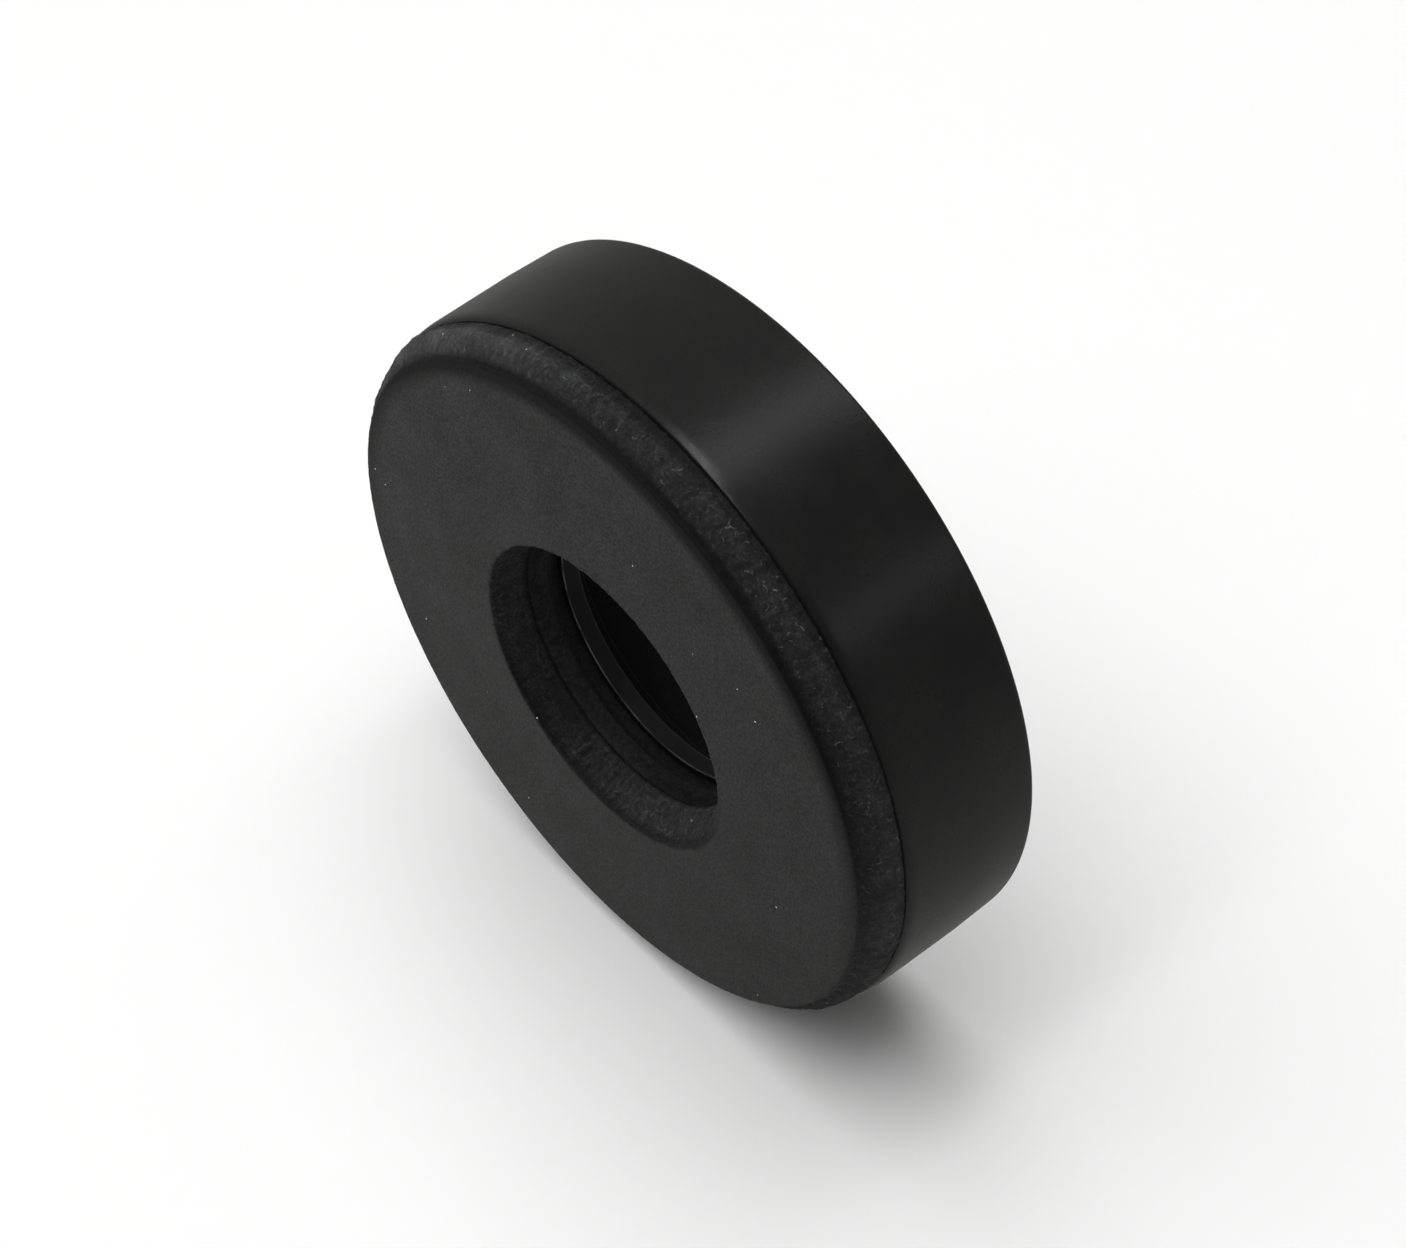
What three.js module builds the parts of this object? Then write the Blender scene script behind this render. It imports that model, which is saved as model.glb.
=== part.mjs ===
// Fence insulator: a hard moulded ring with a rubber facing on its front, and a bush and a load washer
// in its bore. A bolt or rod passes through the bore and the rear face stands on the post.
// Millimetres. The bore lies along Y, the facing looks towards -Y, and +Z is up. The origin is the
// middle of the whole insulator.

import * as THREE from "three";

// Driving dimensions
const OUTER_DIAMETER = 35;
const THICKNESS = 9;
const MOUTH_DIAMETER = 15; // the bore where it opens in the facing
const NECK_DIAMETER = 13.7; // the narrowest place of the bore, inside the bush and the washer
const SEAM = 0.3; // the gap that neighbouring pieces keep
const SEGMENTS = 72; // flats around every round piece
const ARC_STEPS = 4; // chords in every rounded corner

// Depths, counted from the front face
const PAD_THICKNESS = 1.55;
const PAD_SPIGOT_DEPTH = 1.8; // the facing's low collar, which centres it in the ring
const BUSH_END_DEPTH = 3.45;
const WASHER_THICKNESS = 0.92;
const FLANGE_THICKNESS = 0.7;

// Radii
const OUTER_RADIUS = OUTER_DIAMETER / 2;
const MOUTH_RADIUS = MOUTH_DIAMETER / 2;
const NECK_RADIUS = NECK_DIAMETER / 2;
const FACE_RADIUS = 16.3; // the edge of the facing's smooth face
const PAD_REAR_RADIUS = 17.15; // the facing's cut edge where it is widest
const POCKET_RADIUS = 9.2; // the ring's bore around the bush and the washer
const FLANGE_RADIUS = 8.3; // the ring's inner flange, which the washer seats on
const RECESS_RADIUS = 9.6; // the rear recess for the bolt's head or nut

// Where each piece of the stack in the bore starts
const BODY_FRONT_DEPTH = PAD_THICKNESS + SEAM;
const BUSH_START_DEPTH = PAD_SPIGOT_DEPTH + SEAM;
const WASHER_START_DEPTH = BUSH_END_DEPTH + SEAM;
const FLANGE_START_DEPTH = WASHER_START_DEPTH + WASHER_THICKNESS + SEAM;
const RECESS_FLOOR_DEPTH = FLANGE_START_DEPTH + FLANGE_THICKNESS;

// A section drawn as (radius, depth) pairs, in millimetres. Depth turns into Y here.
class Section {
  constructor(radius, depth) {
    this.path = new THREE.Path();
    this.path.moveTo(radius, this.along(depth));
  }

  along(depth) {
    return depth - THICKNESS / 2;
  }

  line(radius, depth) {
    this.path.lineTo(radius, this.along(depth));
    return this;
  }

  // A rounded corner: a curve that leaves towards (cornerRadius, cornerDepth) and ends at (radius, depth).
  round(cornerRadius, cornerDepth, radius, depth) {
    this.path.quadraticCurveTo(cornerRadius, this.along(cornerDepth), radius, this.along(depth));
    return this;
  }

  // The section turned once around the bore's axis.
  turned() {
    this.path.closePath();
    return new THREE.LatheGeometry(this.path.getPoints(ARC_STEPS), SEGMENTS);
  }
}

function piece(name, geometry, color, roughness) {
  const material = new THREE.MeshStandardMaterial({ color, roughness, metalness: 0 });
  const mesh = new THREE.Mesh(geometry, material);
  mesh.name = name;
  return mesh;
}

// The rubber facing. Its face is flat, with a shallow corner behind the face's edge, and both of its
// cut edges lean outwards towards the back.
function frontPad() {
  const mouthRounding = 0.2;
  const edgeRounding = 0.12;
  const cornerDepth = 0.45;
  const collarOuterRadius = POCKET_RADIUS - SEAM;
  const collarInnerRadius = MOUTH_RADIUS - 0.5;
  return new Section(collarInnerRadius, PAD_SPIGOT_DEPTH)
    .line(MOUTH_RADIUS - 0.03, mouthRounding)
    .round(MOUTH_RADIUS, 0, MOUTH_RADIUS + mouthRounding, 0)
    .line(FACE_RADIUS - edgeRounding, 0)
    .round(FACE_RADIUS, 0, FACE_RADIUS, edgeRounding)
    .line(FACE_RADIUS + 0.05, cornerDepth)
    .round(PAD_REAR_RADIUS - 0.15, 0.75, PAD_REAR_RADIUS, 1.25)
    .round(PAD_REAR_RADIUS + 0.03, PAD_THICKNESS - 0.05, PAD_REAR_RADIUS - 0.25, PAD_THICKNESS)
    .line(collarOuterRadius, PAD_THICKNESS)
    .line(collarOuterRadius, PAD_SPIGOT_DEPTH)
    .turned();
}

// The hard ring: a drafted rim with a rounded front edge, a pocket for the bush and the washer, an
// inner flange behind them, and a recess in its rear face.
function bodyRing() {
  const shoulderRadius = PAD_REAR_RADIUS - 0.25;
  const shoulderDepth = 2.45;
  const draftEndDepth = 6.5;
  const draft = 0.14;
  const rearRounding = 0.3;
  const recessChamfer = 0.3;
  return new Section(POCKET_RADIUS, BODY_FRONT_DEPTH)
    .line(shoulderRadius, BODY_FRONT_DEPTH)
    .round(OUTER_RADIUS - draft - 0.02, BODY_FRONT_DEPTH, OUTER_RADIUS - draft, shoulderDepth)
    .line(OUTER_RADIUS, draftEndDepth)
    .line(OUTER_RADIUS, THICKNESS - rearRounding)
    .round(OUTER_RADIUS, THICKNESS, OUTER_RADIUS - rearRounding, THICKNESS)
    .line(RECESS_RADIUS + recessChamfer, THICKNESS)
    .line(RECESS_RADIUS, THICKNESS - recessChamfer)
    .line(RECESS_RADIUS, RECESS_FLOOR_DEPTH)
    .line(FLANGE_RADIUS, RECESS_FLOOR_DEPTH)
    .line(FLANGE_RADIUS, FLANGE_START_DEPTH)
    .line(POCKET_RADIUS, FLANGE_START_DEPTH)
    .turned();
}

// The bush: a rounded lip at the front, and a bore that opens out behind it.
function boreBush() {
  const outerRadius = POCKET_RADIUS - SEAM;
  const lipRounding = 0.3;
  const lipEndDepth = 2.85;
  const hollow = 0.3;
  return new Section(outerRadius, BUSH_START_DEPTH)
    .line(outerRadius, BUSH_END_DEPTH)
    .line(NECK_RADIUS + hollow, BUSH_END_DEPTH)
    .round(NECK_RADIUS + hollow, lipEndDepth + 0.2, NECK_RADIUS, lipEndDepth)
    .line(NECK_RADIUS, BUSH_START_DEPTH + lipRounding)
    .round(NECK_RADIUS, BUSH_START_DEPTH, NECK_RADIUS + lipRounding, BUSH_START_DEPTH)
    .turned();
}

// The load washer: a plain ring with a sharp front edge and a slightly broken rear one.
function loadWasher() {
  const outerRadius = POCKET_RADIUS - SEAM;
  const rearBreak = 0.1;
  const rearDepth = WASHER_START_DEPTH + WASHER_THICKNESS;
  return new Section(outerRadius, WASHER_START_DEPTH)
    .line(outerRadius, rearDepth)
    .line(NECK_RADIUS + rearBreak, rearDepth)
    .line(NECK_RADIUS, rearDepth - rearBreak)
    .line(NECK_RADIUS, WASHER_START_DEPTH)
    .turned();
}

const insulator = new THREE.Group();
insulator.add(
  piece("body_ring", bodyRing(), "#1c1c1b", 0.42),
  piece("front_pad", frontPad(), "#2e2f2f", 0.85),
  piece("bore_bush", boreBush(), "#232423", 0.8),
  piece("load_washer", loadWasher(), "#262727", 0.5),
);

export default insulator;
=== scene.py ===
"""The looks of the fence insulator: fine meshes, materials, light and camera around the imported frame."""

import math

import bpy
import numpy as np
from mathutils import Matrix, Vector, noise


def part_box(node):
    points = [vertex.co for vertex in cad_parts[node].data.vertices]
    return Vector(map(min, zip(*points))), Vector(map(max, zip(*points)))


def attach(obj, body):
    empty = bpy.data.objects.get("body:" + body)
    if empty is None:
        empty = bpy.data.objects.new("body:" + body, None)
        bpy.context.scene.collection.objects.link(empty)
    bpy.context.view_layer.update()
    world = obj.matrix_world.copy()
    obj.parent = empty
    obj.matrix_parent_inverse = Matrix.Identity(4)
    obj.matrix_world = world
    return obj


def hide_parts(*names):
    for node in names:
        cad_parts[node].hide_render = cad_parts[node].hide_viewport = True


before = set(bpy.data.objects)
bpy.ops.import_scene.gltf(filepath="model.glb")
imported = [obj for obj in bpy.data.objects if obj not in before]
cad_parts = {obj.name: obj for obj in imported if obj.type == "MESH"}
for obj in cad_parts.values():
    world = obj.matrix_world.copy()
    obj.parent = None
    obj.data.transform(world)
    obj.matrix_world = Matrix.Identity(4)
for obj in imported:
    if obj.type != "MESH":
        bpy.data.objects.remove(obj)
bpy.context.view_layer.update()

MM = 0.001  # the scene is in metres, and small sizes are given in millimetres

# Fineness of the meshes
SMOOTH_SEGMENTS = 480  # quads round a moulded piece
CUT_SEGMENTS = 1080  # quads round the facing, whose cut edges are really rough
SHARP_ANGLE = math.radians(38)  # edges turned more sharply than this stay crisp

# The photograph's view, in degrees, and the camera's place, in outer radii from the middle of the face
CAMERA_AZIMUTH = 48.15
CAMERA_ELEVATION = 49.44
CAMERA_DISTANCE = 6.476
CAMERA_RIGHT = 0.2641
CAMERA_UP = 0.1740
CAMERA_LENS = 66.62
SENSOR_WIDTH = 36.0

# The hole in the facing is punched a little askew: how far its mouth sits off the bore's axis, in x and z
HOLE_SHIFT = (0.23 * MM, -0.10 * MM)

# Where shade is painted and lint gathers: a direction from the middle, and how far along it they start and
# are full
EDGE_SHADE = ((0.1, 0, 0.995), -5.0 * MM, 16.3 * MM)  # the edge of the facing's face, above
LIP_SHADE = ((0.08, 0, -1.0), -0.5 * MM, 4.0 * MM)  # the edge of its mouth, below
SEAM_SHADE = ((1.0, 0, 0), 16.2 * MM, 13.5 * MM)  # the seam behind it, all round but at the right
SEAM_GLOSS_SHADE = ((0.9, 0, 0.43), 13.5 * MM, 15.5 * MM)  # the ring beside the seam, at the upper right
LINT = ((1.0, 0, 0), -14.0 * MM, 12.0 * MM)  # the cut edges, at the right

# Sides where the facing's outer edge is pale with dust and painted sheen, how pale, and where that starts
# and is full
DUST_AND_SHEEN_SIDES = (((-0.64, 0, 0.77), 0.35), ((0.99, 0, -0.1), 0.3))
PALE_START = 14.0 * MM
PALE_FULL = 17.5 * MM

# Brightness and tint of the room around the insulator
ROOM_DARK = 0.13
ROOM_LEFT = 0.27
ROOM_BELOW = 0.24
ROOM_TINT = (0.98, 1.0, 0.95, 1)

# The floor reaches this far each way, in metres, and is this bright
FLOOR_SIDE = 8.0
FLOOR_BRIGHTNESS = 0.86


def reach(node):
    """The least radius, greatest radius, front y and rear y of a CAD node, in metres."""
    least = min(math.hypot(v.co.x, v.co.z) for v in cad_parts[node].data.vertices)
    low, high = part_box(node)
    return least, high.x, low.y, high.y


FLANGE_RADIUS, OUTER_RADIUS, BODY_FRONT, BODY_REAR = reach("body_ring")
PAD_BORE_RADIUS, PAD_OUTER_RADIUS, PAD_FRONT, PAD_REAR = reach("front_pad")
NECK_RADIUS, BUSH_OUTER_RADIUS, BUSH_FRONT, _ = reach("bore_bush")
WASHER_RADIUS, WASHER_OUTER_RADIUS, WASHER_FRONT, WASHER_REAR = reach("load_washer")


# ---------------------------------------------------------------- meshes


class Outline:
    """A closed section in (radius, y), in metres.

    Every point carries marks from 0 to 1, which the relief and the materials read:
    cut, a roughly cut or cast surface; crease, a corner painted dark as shade; worn, an edge where a
    highlight is painted; inner, the ring's inside, rough and painted near black as shade; hole, the part of
    the facing that is punched askew; rolled and lip, the edges of its face and its mouth, painted dark as
    shade on one side. Along a stretch the marks change evenly from the last point's to those given.
    """

    def __init__(self, radius, y, **marks):
        self.points = [(radius, y)]
        self.marks = [marks]

    def stretch(self, points, marks):
        before = self.marks[-1]
        for i, point in enumerate(points, 1):
            share = i / len(points)
            mixed = {m: before.get(m, 0) * (1 - share) + marks.get(m, 0) * share for m in {*before, *marks}}
            self.points.append(point)
            self.marks.append(mixed)
        return self

    def line(self, radius, y, steps=1, **marks):
        """A straight stretch to (radius, y), in equal steps."""
        r0, y0 = self.points[-1]
        shares = [i / steps for i in range(1, steps + 1)]
        return self.stretch([(r0 + (radius - r0) * t, y0 + (y - y0) * t) for t in shares], marks)

    def round(self, corner_radius, corner_y, radius, y, steps=8, **marks):
        """A rounded corner to (radius, y), which leaves towards the corner."""
        start, end = np.array(self.points[-1]), np.array((radius, y))
        corner = np.array((corner_radius, corner_y))
        shares = [i / steps for i in range(1, steps + 1)]
        curve = [tuple((1 - t) ** 2 * start + 2 * t * (1 - t) * corner + t * t * end) for t in shares]
        return self.stretch(curve, marks)

    def normals(self):
        """The outward direction of the section at every point, as (radius, y) pairs."""
        p = np.array(self.points)
        along = np.roll(p, -1, axis=0) - np.roll(p, 1, axis=0)
        along /= np.linalg.norm(along, axis=1)[:, None]
        return np.stack([along[:, 1], -along[:, 0]], axis=1)


def lumps(point, size):
    """Smooth noise from about -1 to 1, whose lumps are about size metres across."""
    return noise.noise(Vector(point) / size)


def turned(name, outline, segments, relief=None):
    """A ring: the outline turned round the bore's axis.

    relief(point, marks) gives how far the surface stands out there and how far it moves away from the axis,
    both in metres. Nothing comes in front of the CAD node's front face.
    """
    normals = outline.normals()
    count = len(outline.points)
    front = min(y for _, y in outline.points)
    vertices = np.empty((segments, count, 3))
    for s in range(segments):
        angle = 2 * math.pi * s / segments
        cosine, sine = math.cos(angle), math.sin(angle)
        for i, (radius, y) in enumerate(outline.points):
            if relief and any(outline.marks[i].values()):
                height, shift = relief((radius * cosine, y, radius * sine), outline.marks[i])
                radius += normals[i, 0] * height + shift
                y = max(front, y + normals[i, 1] * height)
            vertices[s, i] = (radius * cosine, y, radius * sine)
    faces = []
    for s in range(segments):
        here, there = s * count, ((s + 1) % segments) * count
        for i in range(count):
            j = (i + 1) % count
            faces.append((here + i, there + i, there + j, here + j))
    mesh = bpy.data.meshes.new(name)
    mesh.from_pydata(vertices.reshape(-1, 3).tolist(), [], faces)
    for mark in sorted({m for marks in outline.marks for m in marks}):
        values = np.tile([marks.get(mark, 0.0) for marks in outline.marks], segments).astype(np.float32)
        mesh.attributes.new(mark, "FLOAT", "POINT").data.foreach_set("value", values)
    mesh.shade_smooth()
    mesh.set_sharp_from_angle(angle=SHARP_ANGLE)
    piece = bpy.data.objects.new(name, mesh)
    bpy.context.scene.collection.objects.link(piece)
    return piece


def cut_relief(point, marks):
    """Cut rubber: grooves along the bore, lumps and grain, and edges that wander, fray and are cut askew."""
    x, y, z = point
    around = (x, 0, z)
    cut, crease, lip = marks.get("cut", 0), marks.get("crease", 0), marks.get("lip", 0)
    grooves = 0.02 * lumps((x, y * 0.2, z), 0.22 * MM)
    height = grooves + 0.018 * lumps(point, 0.6 * MM) + 0.022 * lumps(point, 0.13 * MM)
    wander = 0.10 * lumps(around, 4.5 * MM) + 0.05 * lumps(around, 1.3 * MM)
    frayed = 0.07 * lumps(around, 0.32 * MM)
    shift = (max(cut, crease) * wander + max(cut, lip) * frayed) * MM
    shift += marks.get("hole", 0) * (HOLE_SHIFT[0] * x + HOLE_SHIFT[1] * z) / math.hypot(x, z)
    return cut * height * MM, shift


def cast_relief(point, marks):
    """The bush's lip: soft lumps of moulded rubber."""
    height = 0.008 * lumps(point, 0.5 * MM) + 0.006 * lumps(point, 0.12 * MM)
    return marks.get("cut", 0) * height * MM, 0


def facing():
    """The rubber facing: a flat face with a cut outer edge and a cut bore edge."""
    mouth = PAD_BORE_RADIUS + 0.6 * MM
    face_edge = PAD_OUTER_RADIUS - 0.78 * MM
    slope_start = face_edge + 0.22 * MM
    widest = PAD_OUTER_RADIUS + 0.01 * MM
    seat = BODY_FRONT - 0.004 * MM

    def at(depth):
        return PAD_FRONT + depth * MM

    outline = Outline(PAD_BORE_RADIUS, seat, cut=0.6, crease=0.9)
    outline.line(PAD_BORE_RADIUS + 0.1 * MM, at(1.5), steps=5, cut=1.0, lip=0.5)
    outline.line(mouth - 0.09 * MM, at(0.4), steps=16, cut=1.0, hole=1.0, lip=0.45)
    outline.line(mouth - 0.02 * MM, at(0.12), steps=4, cut=0.8, hole=1.0, lip=0.8)
    outline.round(mouth, at(0), mouth + 0.12 * MM, at(0), steps=5, cut=0.1, hole=1.0, lip=0.8)
    outline.line(mouth + 0.36 * MM, at(0), steps=3, hole=0.9)
    outline.line(face_edge - 1.15 * MM, at(0), steps=5)
    outline.line(face_edge - 0.22 * MM, at(0), steps=6, rolled=0.95)
    outline.round(face_edge - 0.01 * MM, at(0), face_edge, at(0.1), steps=7, cut=0.4, rolled=0.8)
    outline.round(face_edge + 0.02 * MM, at(0.3), slope_start, at(0.38), steps=5, cut=0.9, rolled=0.3)
    outline.round(PAD_OUTER_RADIUS - 0.14 * MM, at(0.66), PAD_OUTER_RADIUS, at(1.2), steps=15, cut=1.0)
    outline.line(widest, at(1.5), steps=4, cut=1.0, crease=0.5)
    outline.round(widest, at(1.8), PAD_OUTER_RADIUS - 0.03 * MM, seat, steps=5, cut=0.7, crease=0.6)
    outline.line(PAD_OUTER_RADIUS - 0.5 * MM, seat)
    outline.line(PAD_BORE_RADIUS + 0.25 * MM, seat, steps=5)
    return turned("rubber_facing", outline, CUT_SEGMENTS, cut_relief)


def moulded_ring():
    """The hard ring: drafted rim, rounded front edge, pocket, inner flange and rear recess."""
    pocket_radius = FLANGE_RADIUS + 0.9 * MM
    recess_radius = FLANGE_RADIUS + 1.3 * MM
    shoulder = PAD_OUTER_RADIUS - 0.04 * MM
    rim_front = OUTER_RADIUS - 0.14 * MM
    flange_front = WASHER_REAR + 0.3 * MM
    flange_rear = flange_front + 0.7 * MM
    rounding = 0.3 * MM
    recess_corner = 0.2 * MM
    flange_corner = 0.1 * MM
    outline = Outline(pocket_radius, BODY_FRONT, inner=1.0)
    outline.line(shoulder, BODY_FRONT, steps=10, crease=1.0)
    outline.round(rim_front - 0.02 * MM, BODY_FRONT, rim_front, BODY_FRONT + 0.6 * MM, steps=14)
    outline.line(OUTER_RADIUS, BODY_FRONT + 4.65 * MM, steps=8)
    outline.line(OUTER_RADIUS, BODY_REAR - rounding, steps=4)
    outline.round(OUTER_RADIUS, BODY_REAR, OUTER_RADIUS - rounding, BODY_REAR, steps=10)
    outline.line(recess_radius + rounding, BODY_REAR, steps=12)
    outline.round(recess_radius, BODY_REAR, recess_radius, BODY_REAR - rounding, steps=6, inner=1.0)
    outline.line(recess_radius, flange_rear + recess_corner, steps=6, inner=1.0)
    outline.round(recess_radius, flange_rear, recess_radius - recess_corner, flange_rear, steps=5, inner=1.0)
    outline.line(FLANGE_RADIUS + flange_corner, flange_rear, steps=4, inner=1.0)
    outline.round(FLANGE_RADIUS, flange_rear, FLANGE_RADIUS, flange_rear - flange_corner, steps=4, inner=1.0)
    outline.line(FLANGE_RADIUS, flange_front, steps=3, inner=1.0)
    outline.line(pocket_radius, flange_front, steps=2, inner=1.0)
    outline.line(pocket_radius, BODY_FRONT + 0.2 * MM, steps=6, inner=1.0)
    return turned("moulded_ring", outline, SMOOTH_SEGMENTS)


def bush():
    """The bush: a rounded lip, a short land, and a hollow that opens out behind it."""
    hollow = NECK_RADIUS + 0.3 * MM
    lip_front = PAD_REAR + 0.06 * MM
    land_front = BUSH_FRONT + 0.4 * MM
    land_rear = BUSH_FRONT + 0.75 * MM
    rear = WASHER_FRONT - 0.04 * MM
    outline = Outline(BUSH_OUTER_RADIUS, BUSH_FRONT + 0.1 * MM)
    outline.line(BUSH_OUTER_RADIUS, rear, steps=3)
    outline.line(hollow, rear, steps=6)
    outline.round(hollow, BUSH_FRONT + 1.0 * MM, NECK_RADIUS + 0.02 * MM, land_rear, steps=8, crease=0.2)
    outline.round(NECK_RADIUS, BUSH_FRONT + 0.6 * MM, NECK_RADIUS, land_front, steps=4, cut=0.6)
    outline.round(NECK_RADIUS, lip_front, NECK_RADIUS + 0.35 * MM, lip_front, steps=8, cut=0.5, crease=0.3)
    outline.line(BUSH_OUTER_RADIUS - 0.1 * MM, lip_front, steps=6, crease=0.9)
    return turned("bush", outline, SMOOTH_SEGMENTS, cast_relief)


def washer():
    """The load washer: a plain ring whose sharp front edge carries a painted highlight."""
    glint_width = 0.045 * MM
    beside_it = glint_width * 1.2
    rounding = 0.12 * MM
    outline = Outline(WASHER_OUTER_RADIUS, WASHER_FRONT)
    outline.line(WASHER_OUTER_RADIUS, WASHER_REAR, steps=2)
    outline.line(WASHER_RADIUS + rounding, WASHER_REAR, steps=4)
    outline.round(WASHER_RADIUS, WASHER_REAR, WASHER_RADIUS, WASHER_REAR - rounding, steps=5)
    outline.line(WASHER_RADIUS, WASHER_FRONT + beside_it, steps=4)
    outline.line(WASHER_RADIUS, WASHER_FRONT + glint_width, worn=1.0)
    outline.line(WASHER_RADIUS + glint_width, WASHER_FRONT, steps=2, worn=1.0)
    outline.line(WASHER_RADIUS + beside_it, WASHER_FRONT)
    outline.line(WASHER_OUTER_RADIUS - 0.1 * MM, WASHER_FRONT, steps=4)
    return turned("washer", outline, SMOOTH_SEGMENTS)


# ---------------------------------------------------------------- materials


class Finish:
    """A material under construction: its node tree and its Principled shader."""

    def __init__(self, name):
        self.material = bpy.data.materials.new(name)
        self.material.use_nodes = True
        self.tree = self.material.node_tree
        self.shader = self.tree.nodes["Principled BSDF"]
        self.place = self.node("ShaderNodeTexCoord").outputs["Object"]

    def node(self, kind, inputs=None, **settings):
        made = self.tree.nodes.new(kind)
        for key, value in settings.items():
            setattr(made, key, value)
        for key, value in (inputs or {}).items():
            if isinstance(value, bpy.types.NodeSocket):
                self.tree.links.new(value, made.inputs[key])
            else:
                made.inputs[key].default_value = value
        return made

    def set(self, **values):
        """Uniform values, straight on the shader's sockets."""
        for key, value in values.items():
            self.shader.inputs[key.replace("_", " ")].default_value = value

    def drive(self, socket, source):
        self.tree.links.new(source, self.shader.inputs[socket])

    def stretched(self, stretch, turn=0.0):
        """The object's place in space, turned round X by an angle and stretched along x, y and z."""
        mapped = self.node("ShaderNodeMapping", {"Vector": self.place}, vector_type="TEXTURE")
        mapped.inputs["Rotation"].default_value = (turn, 0, turn * 0.7)
        mapped.inputs["Scale"].default_value = stretch
        return mapped.outputs["Vector"]

    def noise(self, size, detail=4.0, roughness=0.55, stretch=(1, 1, 1)):
        """Noise whose lumps are about size metres across, times stretch, from 0 to 1."""
        inputs = {
            "Vector": self.stretched(stretch),
            "Scale": 1 / size,
            "Detail": detail,
            "Roughness": roughness,
        }
        return self.node("ShaderNodeTexNoise", inputs).outputs["Fac"]

    def specks(self, size, spacing, stretch=(1, 1, 1), turn=0.0):
        """Scattered specks of about size metres across, times stretch: 1 in a speck and 0 outside."""
        inputs = {"Vector": self.stretched(stretch, turn), "Scale": 1 / spacing}
        distance = self.node("ShaderNodeTexVoronoi", inputs).outputs["Distance"]
        return self.ramp(distance, 0.5 * size / spacing, 0.3 * size / spacing)

    def threads(self, size):
        """Short curly threads, whose loops are about size metres across: 1 on a thread and 0 beside it."""
        off = self.math("ABSOLUTE", self.math("SUBTRACT", self.noise(size, detail=1), 0.5), 0.0)
        kept = self.ramp(self.noise(size * 0.8, detail=2), 0.58, 0.62)
        return self.math("MULTIPLY", self.ramp(off, 0.014, 0.006), kept)

    def ramp(self, value, low, high, to_low=0.0, to_high=1.0):
        """value from low to high mapped to to_low to to_high, and held at both ends."""
        inputs = {"Value": value, "From Min": low, "From Max": high, "To Min": to_low, "To Max": to_high}
        return self.node("ShaderNodeMapRange", inputs).outputs["Result"]

    def math(self, operation, a, b):
        return self.node("ShaderNodeMath", {0: a, 1: b}, operation=operation).outputs["Value"]

    def mix(self, share, low, high):
        """The colour low turning into high as share goes from 0 to 1."""
        made = self.node("ShaderNodeMix", data_type="RGBA")
        # These numbers are the Mix node's sockets for colours.
        for socket, value in ((made.inputs[0], share), (made.inputs[6], low), (made.inputs[7], high)):
            if isinstance(value, bpy.types.NodeSocket):
                self.tree.links.new(value, socket)
            else:
                socket.default_value = value
        return made.outputs[2]

    def attribute(self, name):
        return self.node("ShaderNodeAttribute", attribute_name=name).outputs["Fac"]

    def toward(self, direction, low, high):
        """How far a place lies towards a direction from the middle: 0 at low metres, 1 at high metres."""
        along = self.node("ShaderNodeVectorMath", {0: self.place, 1: direction}, operation="DOT_PRODUCT")
        return self.ramp(along.outputs["Value"], low, high)

    def bump(self, height, distance, strength=1.0, under=None):
        inputs = {"Height": height, "Distance": distance, "Strength": strength}
        if under is not None:
            inputs["Normal"] = under
        return self.node("ShaderNodeBump", inputs).outputs["Normal"]


def grey(value, warmth=0.0):
    """A linear grey, slightly warm or cool."""
    return (value * (1 + warmth), value, value * (1 - warmth), 1.0)


def seam_shade(f):
    """How much painted shade a place in the seam behind the facing takes, from 0 to 1."""
    return f.math("MULTIPLY", f.attribute("crease"), f.toward(*SEAM_SHADE))


def moulding_finish():
    """Satin black moulding: a dark skin with faint cloudy gloss and drawn lines along the rim."""
    f = Finish("body_plastic")
    f.set(IOR=1.5)
    inner = f.attribute("inner")
    clouds = f.noise(2.6 * MM, detail=5)
    skin = f.mix(f.ramp(clouds, 0.35, 0.7), grey(0.0042), grey(0.0058, 0.02))
    # Painted shade: the ring's inside is painted near black.
    f.drive("Base Color", f.mix(inner, skin, grey(0.0012)))
    drawn = f.noise(0.25 * MM, detail=5, stretch=(1, 3, 1))
    gloss = f.math("ADD", f.ramp(clouds, 0.3, 0.7, 0.23, 0.28), f.ramp(drawn, 0.3, 0.7, -0.012, 0.016))
    f.drive("Roughness", f.math("ADD", gloss, f.math("MULTIPLY", inner, 0.7)))
    fine = f.noise(0.11 * MM, detail=4, roughness=0.7)
    # Painted shade: beside the seam, at the upper right, the ring's gloss is lowered.
    seam_gloss_shade = f.math("MULTIPLY", seam_shade(f), f.toward(*SEAM_GLOSS_SHADE))
    sheen = f.ramp(fine, 0.3, 0.7, 0.4, 0.6)
    f.drive("Specular IOR Level", f.math("MULTIPLY", sheen, f.ramp(seam_gloss_shade, 0.0, 0.8, 1.0, 0.25)))
    under = f.bump(drawn, 0.0012 * MM, 0.5)
    f.drive("Normal", f.bump(fine, 0.006 * MM, 0.8, under))
    return f.material


def face_colour(f, mottle, grain):
    """The facing's smooth face: mottled and grained, with a few scuffs."""
    cloud = f.ramp(mottle, 0.35, 0.65)
    dark = f.mix(cloud, grey(0.0044), grey(0.0074))
    light = f.mix(cloud, grey(0.0103), grey(0.015))
    colour = f.mix(f.ramp(grain, 0.44, 0.6), dark, light)
    scuffs = f.specks(0.14 * MM, 4.5 * MM, stretch=(1, 1, 12), turn=0.5)
    return f.mix(f.math("MULTIPLY", scuffs, 0.5), colour, grey(0.022))


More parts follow.
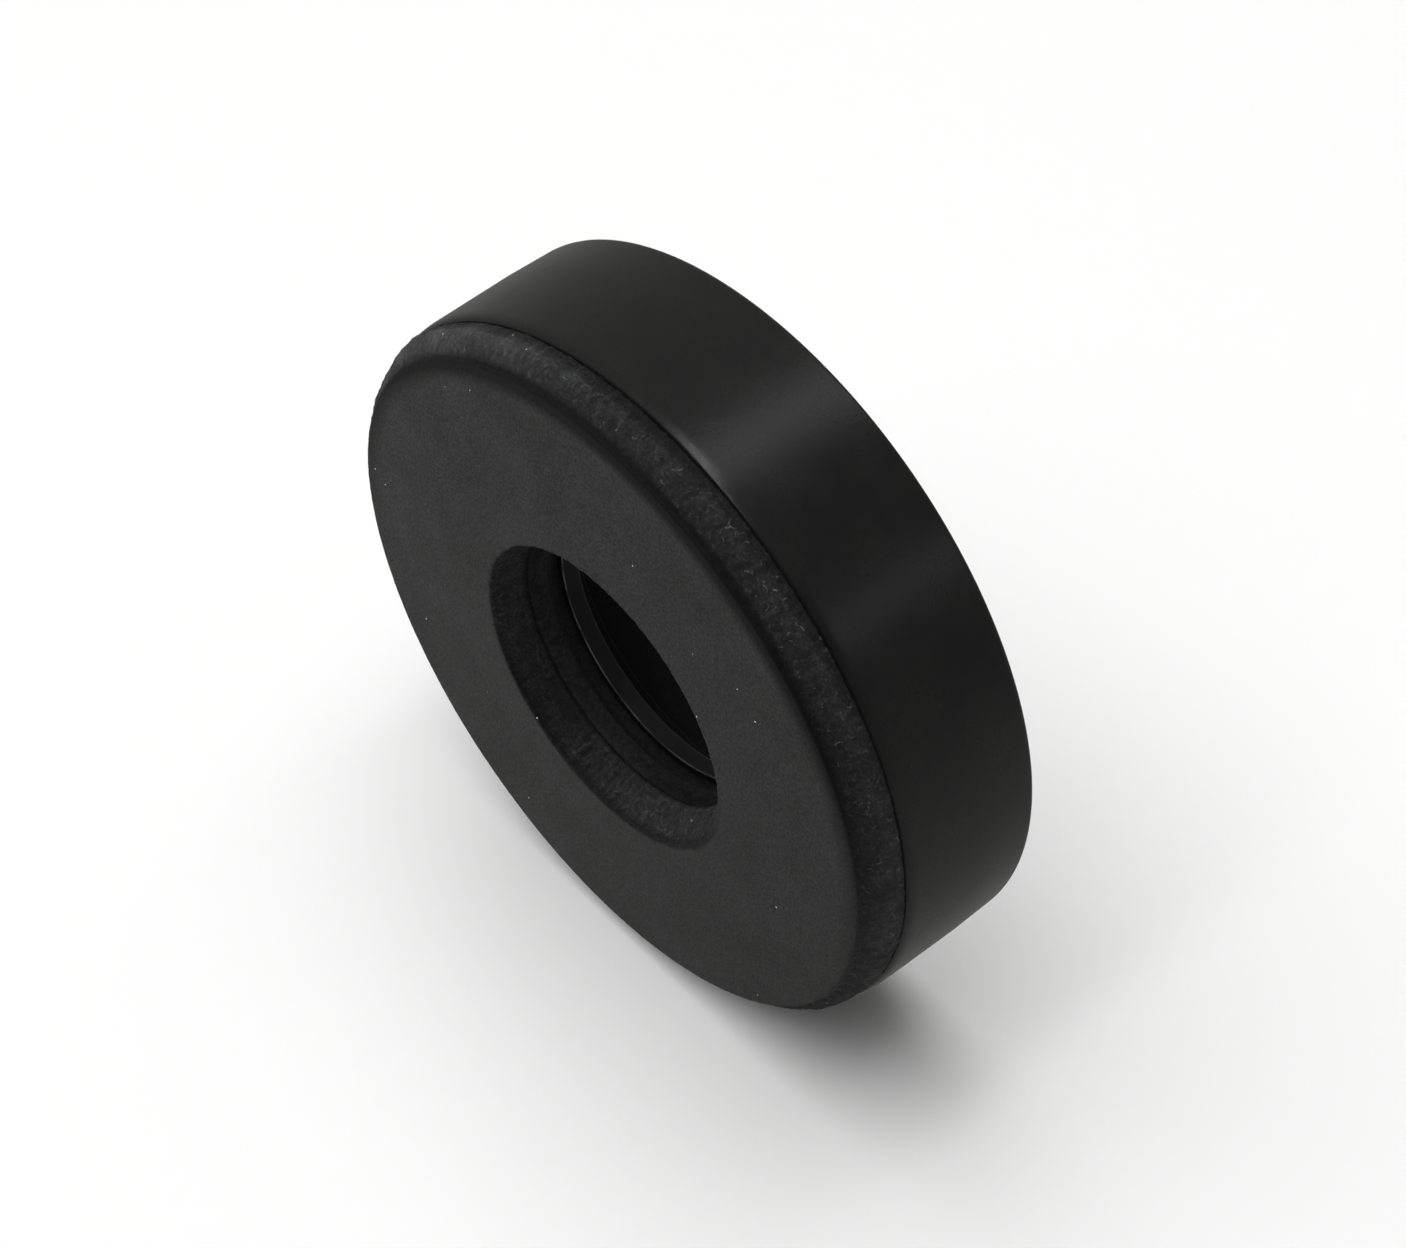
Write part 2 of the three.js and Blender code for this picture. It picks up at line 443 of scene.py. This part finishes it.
def edge_colour(f, dust, ridges):
    """The facing's cut edges: painted shade between the ridges, dust and crumbs in patches, and lint."""
    pale_dust_and_sheen = grey(0.036)
    patches = f.ramp(f.noise(1.6 * MM, detail=5, roughness=0.7), 0.38, 0.6, 0.35, 1.0)
    dusty = f.math("MULTIPLY", f.ramp(dust, 0.40, 0.68), patches)
    colour = f.mix(dusty, grey(0.0055), grey(0.020, -0.03))
    crumbs = f.ramp(f.noise(0.14 * MM, detail=4, roughness=0.7), 0.54, 0.70)
    colour = f.mix(f.math("MULTIPLY", crumbs, patches), colour, pale_dust_and_sheen)
    # Painted shade: darker in the grooves between the ridges.
    colour = f.mix(f.ramp(ridges, 0.35, 0.5, 0.7, 0.0), colour, grey(0.004))
    # Pale dust on two sides; on the upper left the paleness is also a painted sheen.
    for direction, share in DUST_AND_SHEEN_SIDES:
        pale = f.ramp(f.toward(direction, PALE_START, PALE_FULL), 0.0, 1.0, 0.0, share)
        colour = f.mix(f.math("MULTIPLY", pale, patches), colour, pale_dust_and_sheen)
    lint = f.math("MULTIPLY", f.threads(0.55 * MM), f.toward(*LINT))
    return f.mix(lint, colour, grey(0.085))


def facing_shade(f):
    """Painted shade on the facing, from 0 to 1: its upper edge, the lower edge of its mouth, and its seam.
    """
    shade_above = f.ramp(f.toward(*EDGE_SHADE), 0.0, 1.0, 0.0, 1.7)
    rolled = f.math("MULTIPLY", f.attribute("rolled"), shade_above)
    lip = f.math("MULTIPLY", f.attribute("lip"), f.toward(*LIP_SHADE))
    return f.math("MAXIMUM", seam_shade(f), f.math("MAXIMUM", rolled, lip))


def facing_finish():
    """Matt black-grey rubber: a smooth mottled face, and cut edges that are darker, coarser and dusty."""
    f = Finish("pad_rubber")
    f.set(IOR=1.48)
    cut = f.attribute("cut")
    mottle = f.noise(3.0 * MM, detail=7, roughness=0.66)
    grain = f.noise(0.14 * MM, detail=5, roughness=0.75)
    dust = f.noise(0.34 * MM, detail=9, roughness=0.8)
    ridges = f.noise(0.15 * MM, detail=4, roughness=0.7, stretch=(1, 4, 1))
    painted_shade = facing_shade(f)
    colour = f.mix(cut, face_colour(f, mottle, grain), edge_colour(f, dust, ridges))
    # Painted shade: the facing's upper edge, its mouth's lower edge and its seam are painted near black.
    colour = f.mix(painted_shade, colour, grey(0.003))
    flecks = f.specks(0.1 * MM, 1.6 * MM)
    f.drive("Base Color", f.mix(flecks, colour, grey(0.22, 0.02)))
    sheen = f.math("MULTIPLY", f.ramp(grain, 0.3, 0.7, 0.55, 1.45), f.ramp(mottle, 0.3, 0.7, 0.8, 1.2))
    # The painted shade also lowers the facing's gloss.
    f.drive("Specular IOR Level", f.math("MULTIPLY", sheen, f.ramp(painted_shade, 0.0, 1.0, 0.5, 0.15)))
    satin = f.ramp(mottle, 0.3, 0.7, 0.44, 0.54)
    f.drive("Roughness", f.math("ADD", satin, f.math("MULTIPLY", cut, 0.35)))
    under = f.bump(dust, 0.03 * MM, f.ramp(cut, 0.0, 1.0, 0.04, 0.6))
    under = f.bump(ridges, 0.025 * MM, f.ramp(cut, 0.0, 1.0, 0.0, 0.8), under)
    f.drive("Normal", f.bump(grain, 0.012 * MM, f.ramp(cut, 0.0, 1.0, 0.3, 1.0), under))
    return f.material


def bush_finish():
    """Matt black rubber, a little dusty on its lip."""
    f = Finish("bush_rubber")
    f.set(IOR=1.48)
    dust = f.noise(0.45 * MM, detail=7, roughness=0.7)
    dusty = f.math("MULTIPLY", f.ramp(dust, 0.45, 0.7), f.attribute("cut"))
    film = f.ramp(f.noise(0.2 * MM, detail=6, roughness=0.75), 0.42, 0.62)
    colour = f.mix(dusty, f.mix(film, grey(0.003), grey(0.0085)), grey(0.018))
    # Painted shade: the bush's corners marked crease are painted near black.
    f.drive("Base Color", f.mix(f.attribute("crease"), colour, grey(0.002)))
    f.drive("Roughness", f.ramp(dust, 0.3, 0.7, 0.55, 0.7))
    f.drive("Specular IOR Level", f.ramp(film, 0.0, 1.0, 0.28, 0.42))
    under = f.bump(dust, 0.03 * MM, 0.6)
    f.drive("Normal", f.bump(f.noise(0.1 * MM), 0.01 * MM, 0.7, under))
    return f.material


def washer_finish():
    """Hard black washer, with a highlight painted as a lighter line on its front edge."""
    f = Finish("washer_plastic")
    f.set(IOR=1.5, Specular_IOR_Level=0.3)
    clouds = f.noise(0.8 * MM, detail=5)
    skin = f.mix(f.ramp(clouds, 0.35, 0.7), grey(0.0035), grey(0.006))
    glint_strength = f.ramp(f.noise(1.4 * MM, detail=5), 0.4, 0.58, 0.25, 1.0)
    # Painted highlight: a lighter line on the washer's front edge, stronger in patches.
    worn = f.math("MULTIPLY", f.attribute("worn"), glint_strength)
    f.drive("Base Color", f.mix(worn, skin, grey(0.065, 0.02)))
    f.drive("Roughness", f.ramp(clouds, 0.3, 0.7, 0.48, 0.6))
    f.drive("Normal", f.bump(f.noise(0.06 * MM), 0.003 * MM, 0.5))
    return f.material


def dress(piece, node, material):
    """A fine piece takes the place of its CAD node, rides on its body and gets its finish."""
    piece.data.materials.append(material)
    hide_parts(node)
    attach(piece, "root")
    return piece


# ---------------------------------------------------------------- floor, light and camera


def softbox(name, direction, distance, across, along, power):
    """A rectangular lamp that looks at the insulator from a direction.

    Its width, across, runs round the bore's axis, and its length, along, follows the bore.
    """
    lamp = bpy.data.lights.new(name, "AREA")
    lamp.shape = "RECTANGLE"
    lamp.size, lamp.size_y, lamp.energy = across, along, power
    box = bpy.data.objects.new(name, lamp)
    bpy.context.scene.collection.objects.link(box)
    back = Vector(direction).normalized()
    side = Vector((0, 1, 0)).cross(back).normalized()
    turn = Matrix((side, back.cross(side), back)).transposed()
    box.matrix_world = Matrix.Translation(back * distance) @ turn.to_4x4()
    box.visible_camera = False
    return box


def fill_lamp(name, direction, **size):
    """A softbox that no surface mirrors."""
    box = softbox(name, direction, **size)
    box.visible_glossy = False
    return box


def floor():
    """A plain pale floor that the rim stands on."""
    side, low = FLOOR_SIDE, -OUTER_RADIUS
    mesh = bpy.data.meshes.new("floor")
    corners = [(-side, -side, low), (side, -side, low), (side, side, low), (-side, side, low)]
    mesh.from_pydata(corners, [], [(0, 1, 2, 3)])
    plane = bpy.data.objects.new("floor", mesh)
    bpy.context.scene.collection.objects.link(plane)
    f = Finish("floor")
    f.set(Base_Color=grey(FLOOR_BRIGHTNESS), Roughness=0.9)
    mesh.materials.append(f.material)
    plane.visible_glossy = False


def surroundings():
    """A dim room: brighter to the left and below, darker above, to the right and in front."""
    world = bpy.data.worlds.new("room")
    bpy.context.scene.world = world
    world.use_nodes = True
    tree = world.node_tree
    place = tree.nodes.new("ShaderNodeTexCoord").outputs["Generated"]
    parts = tree.nodes.new("ShaderNodeSeparateXYZ")
    tree.links.new(place, parts.inputs[0])

    def blend(operation, first, second):
        made = tree.nodes.new("ShaderNodeMath")
        made.operation = operation
        tree.links.new(first, made.inputs[0])
        tree.links.new(second, made.inputs[1])
        return made.outputs["Value"]

    def fade(axis, dark_at, bright_at, brightness):
        ramp = tree.nodes.new("ShaderNodeMapRange")
        ramp.interpolation_type = "SMOOTHSTEP"
        tree.links.new(parts.outputs[axis], ramp.inputs["Value"])
        ramp.inputs["From Min"].default_value = dark_at
        ramp.inputs["From Max"].default_value = bright_at
        ramp.inputs["To Min"].default_value = ROOM_DARK
        ramp.inputs["To Max"].default_value = brightness
        return ramp.outputs["Result"]

    strength = blend("MAXIMUM", fade("X", 0.1, -0.45, ROOM_LEFT), fade("Z", 0.1, -0.5, ROOM_BELOW))
    front = fade("Y", -0.8, -0.4, 1.0)
    tree.links.new(blend("MULTIPLY", strength, front), tree.nodes["Background"].inputs["Strength"])
    tree.nodes["Background"].inputs["Color"].default_value = ROOM_TINT


def only_on(lamp, pieces):
    """Keeps a lamp's light off the floor: it falls on these pieces alone."""
    lit = bpy.data.collections.new(lamp.name)
    for piece in pieces:
        lit.objects.link(piece)
    lamp.light_linking.receiver_collection = lit


def studio(pieces):
    """The room and the lamps.

    Two strips and a lamp above draw the streaks on the rim. Soft fills light the facing, which is the first
    piece, from the left, and every piece from the right and from behind. A big lamp lights the floor.
    """
    surroundings()
    softbox("strip_above", (-0.01, 0.49, 0.87), distance=0.4, across=0.075, along=0.30, power=0.082)
    softbox("lamp_above", (-0.045, -0.34, 0.94), distance=0.4, across=0.05, along=0.50, power=0.42)
    softbox("strip_right", (0.74, 0.42, 0.52), distance=0.5, across=0.03, along=0.26, power=0.026)
    left = fill_lamp("fill_left", (-0.76, -0.58, 0.20), distance=0.124, across=0.02, along=0.05, power=0.5)
    only_on(left, pieces[:1])
    right = fill_lamp("fill_right", (0.85, -0.35, 0.40), distance=0.5, across=0.3, along=0.3, power=1.4)
    only_on(right, pieces)
    rear = fill_lamp("fill_rear", (-0.02, 1.0, 0), distance=0.5, across=0.1, along=0.1, power=5.0)
    only_on(rear, pieces)
    fill_lamp("floor_light", (-0.30, -0.1, 0.95), distance=3.0, across=4.0, along=4.0, power=118)


def camera():
    """The camera at the photograph's viewing angle."""
    data = bpy.data.cameras.new("camera")
    data.sensor_width = SENSOR_WIDTH
    data.lens = CAMERA_LENS
    data.clip_start = 0.001
    eye = bpy.data.objects.new("camera", data)
    bpy.context.scene.collection.objects.link(eye)
    azimuth, elevation = math.radians(CAMERA_AZIMUTH), math.radians(CAMERA_ELEVATION)
    back = Vector(
        (
            math.sin(azimuth) * math.cos(elevation),
            -math.cos(azimuth) * math.cos(elevation),
            math.sin(elevation),
        )
    )
    right = Vector((math.cos(azimuth), math.sin(azimuth), 0))
    up = back.cross(right)
    face_centre = Vector((0, PAD_FRONT, 0))
    offset = CAMERA_DISTANCE * back + CAMERA_RIGHT * right + CAMERA_UP * up
    eye.location = face_centre + OUTER_RADIUS * offset
    eye.rotation_euler = (-back).to_track_quat("-Z", "Y").to_euler()
    bpy.context.scene.camera = eye


pieces = [
    dress(facing(), "front_pad", facing_finish()),
    dress(moulded_ring(), "body_ring", moulding_finish()),
    dress(bush(), "bore_bush", bush_finish()),
    dress(washer(), "load_washer", washer_finish()),
]
floor()
studio(pieces)
camera()
bpy.context.scene.view_settings.view_transform = "Standard"
